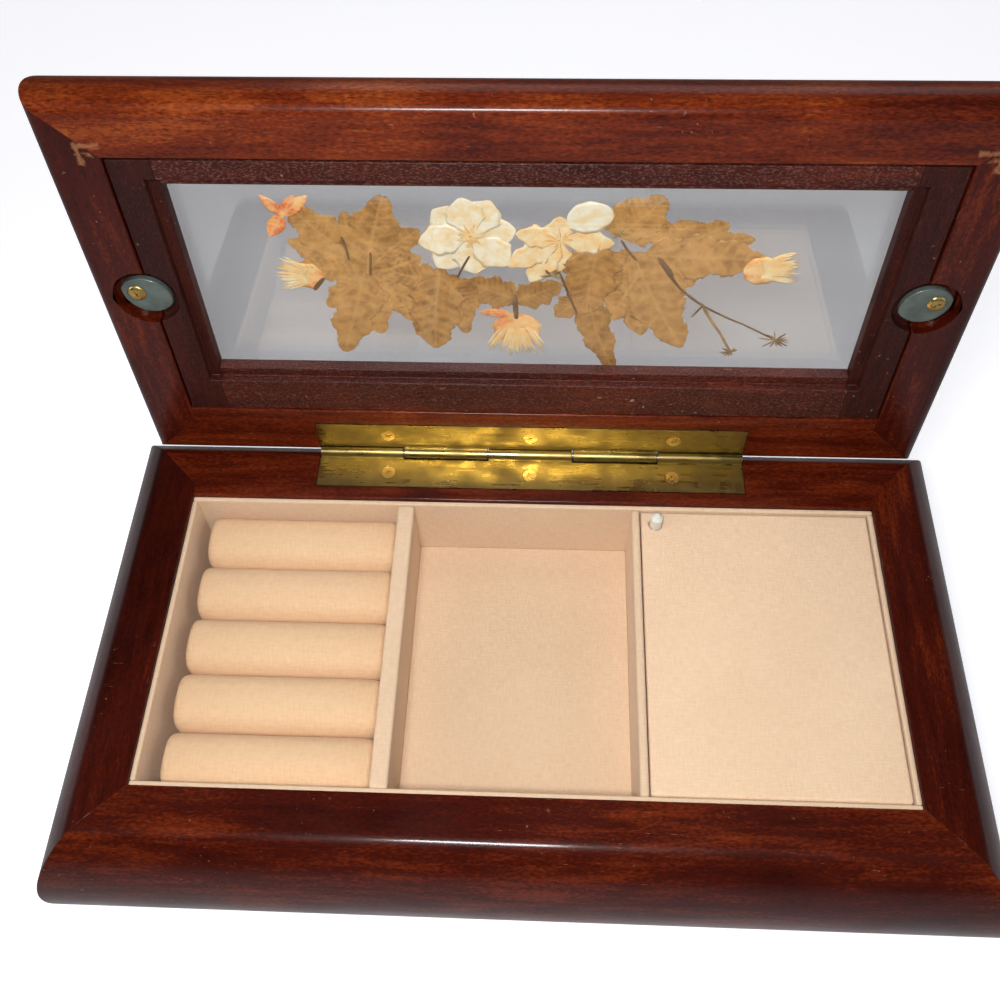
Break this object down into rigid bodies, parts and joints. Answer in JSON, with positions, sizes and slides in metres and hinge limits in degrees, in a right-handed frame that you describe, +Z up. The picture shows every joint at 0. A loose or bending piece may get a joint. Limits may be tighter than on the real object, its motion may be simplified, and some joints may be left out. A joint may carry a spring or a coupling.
{
  "type": "musical jewelry box",
  "caption": "Hinged wooden music box for jewelry: rounded mouldings, glazed lid with pressed flowers, padded ring rolls, lined tray and a wind-up movement under a fabric cover.",
  "frame": {"origin": "centre of the base's footprint, on the plane that the felt feet stand on", "axes": "+X to the right along the hinge, +Y from the front to the hinge side, +Z up"},
  "size_m": [0.2106, 0.1303, 0.1416],
  "materials": {
    "lacquered_wood": "glossy red-brown lacquer",
    "insert_wood": "dark satin stain, scuffed",
    "plywood": "bare plywood",
    "lining_fabric": "beige woven fabric",
    "cover_fabric": "pale woven fabric",
    "roll_fabric": "beige woven fabric over foam",
    "felt": "dark felt",
    "hinge_brass": "dull plated brass",
    "screw_brass": "bright brass",
    "steel": "plain steel",
    "cast_zinc": "die-cast, gold-washed",
    "movement_brass": "polished brass",
    "fly_metal": "bright aluminium",
    "clear_glass": "clear polished glass",
    "dried_leaf": "dry tan leaf",
    "dried_petal": "dry cream petals",
    "dried_stem": "dry brown stems",
    "tab_plastic": "grey-green plastic",
    "plunger_plastic": "cream plastic"
  },
  "bodies": {
    "case": {"base_front_rail": "lacquered_wood", "base_rear_rail": "lacquered_wood", "base_left_rail": "lacquered_wood", "base_right_rail": "lacquered_wood", "bottom_panel": "plywood", "floor_board": "plywood", "cover_posts": "plywood", "front_lining": "lining_fabric", "rear_lining": "lining_fabric", "left_lining": "lining_fabric", "right_lining": "lining_fabric", "tray_floor": "lining_fabric", "left_divider": "lining_fabric", "right_divider": "lining_fabric", "movement_cover": "cover_fabric", "ring_roll_1": "roll_fabric", "ring_roll_2": "roll_fabric", "ring_roll_3": "roll_fabric", "ring_roll_4": "roll_fabric", "ring_roll_5": "roll_fabric", "felt_feet": "felt", "hinge_base_leaf": "hinge_brass", "hinge_base_screws": "screw_brass", "hinge_pin": "steel", "comb": "steel", "comb_screws": "steel", "movement_screws": "steel", "movement_bedplate": "cast_zinc", "governor_frame": "cast_zinc"},
    "lid": {"lid_front_rail": "lacquered_wood", "lid_rear_rail": "lacquered_wood", "lid_left_rail": "lacquered_wood", "lid_right_rail": "lacquered_wood", "hinge_lid_leaf": "hinge_brass", "hinge_lid_screws": "screw_brass", "outer_glass": "clear_glass", "inner_glass": "clear_glass", "pressed_leaves": "dried_leaf", "pressed_blossoms": "dried_petal", "pressed_stems": "dried_stem", "insert_front_strip": "insert_wood", "insert_rear_strip": "insert_wood", "insert_left_strip": "insert_wood", "insert_right_strip": "insert_wood", "tab_screws": "screw_brass"},
    "left_tab": {"left_tab": "tab_plastic"},
    "right_tab": {"right_tab": "tab_plastic"},
    "winding_key": {"winding_key": "steel", "winding_arbor": "steel"},
    "music_cylinder": {"music_cylinder": "movement_brass"},
    "spring_barrel": {"spring_barrel": "movement_brass", "barrel_gear": "movement_brass", "mainspring": "steel"},
    "governor_wheel": {"governor_wheel": "steel"},
    "governor_fly": {"governor_fly": "fly_metal"},
    "stop_plunger": {"stop_plunger": "plunger_plastic"},
    "stop_lever": {"stop_lever": "steel"}
  },
  "joints": [
    {"name": "lid_hinge", "type": "hinge", "parent": "case", "child": "lid", "pos_m": [0, 0.04995, 0.04115], "axis": [1, 0, 0], "range_deg": [0, 94]},
    {"name": "left_tab_turn", "type": "hinge", "parent": "lid", "child": "left_tab", "pos_m": [-0.08744, 0.05447, 0.09364], "axis": [0, -0.9976, 0.0698], "range_deg": [-50, 50]},
    {"name": "right_tab_turn", "type": "hinge", "parent": "lid", "child": "right_tab", "pos_m": [0.08744, 0.05447, 0.09364], "axis": [0, -0.9976, 0.0698], "range_deg": [-50, 50]},
    {"name": "key_turn", "type": "hinge", "parent": "case", "child": "winding_key", "pos_m": [0.0706, 0.00965, 0.0118], "axis": [0, 0, 1], "continuous": true},
    {"name": "cylinder_spin", "type": "hinge", "parent": "case", "child": "music_cylinder", "pos_m": [0.05, 0.00965, 0.0275], "axis": [1, 0, 0], "continuous": true},
    {"name": "barrel_spin", "type": "hinge", "parent": "case", "child": "spring_barrel", "pos_m": [0.0706, 0.00965, 0.02], "axis": [0, 0, 1], "continuous": true},
    {"name": "governor_wheel_spin", "type": "hinge", "parent": "case", "child": "governor_wheel", "pos_m": [0.035, 0.0015, 0.0245], "axis": [1, 0, 0], "continuous": true},
    {"name": "governor_fly_spin", "type": "hinge", "parent": "case", "child": "governor_fly", "pos_m": [0.0355, -0.00442, 0.03], "axis": [0, 0, 1], "continuous": true},
    {"name": "plunger_slide", "type": "slide", "parent": "case", "child": "stop_plunger", "axis": [0, 0, 1], "range_m": [-0.002, 0]},
    {"name": "lever_tilt", "type": "hinge", "parent": "case", "child": "stop_lever", "pos_m": [0.0294, 0.01555, 0.0255], "axis": [1, 0, 0], "range_deg": [-8, 0]}
  ],
  "couplings": [
    {"joint": "barrel_spin", "follows": "cylinder_spin", "ratio": -0.41667},
    {"joint": "governor_wheel_spin", "follows": "cylinder_spin", "ratio": -3.6},
    {"joint": "governor_fly_spin", "follows": "cylinder_spin", "ratio": 43.2},
    {"joint": "plunger_slide", "follows": "lid_hinge", "m_per_rad": -0.001219},
    {"joint": "lever_tilt", "follows": "lid_hinge", "ratio": -0.082978}
  ]
}
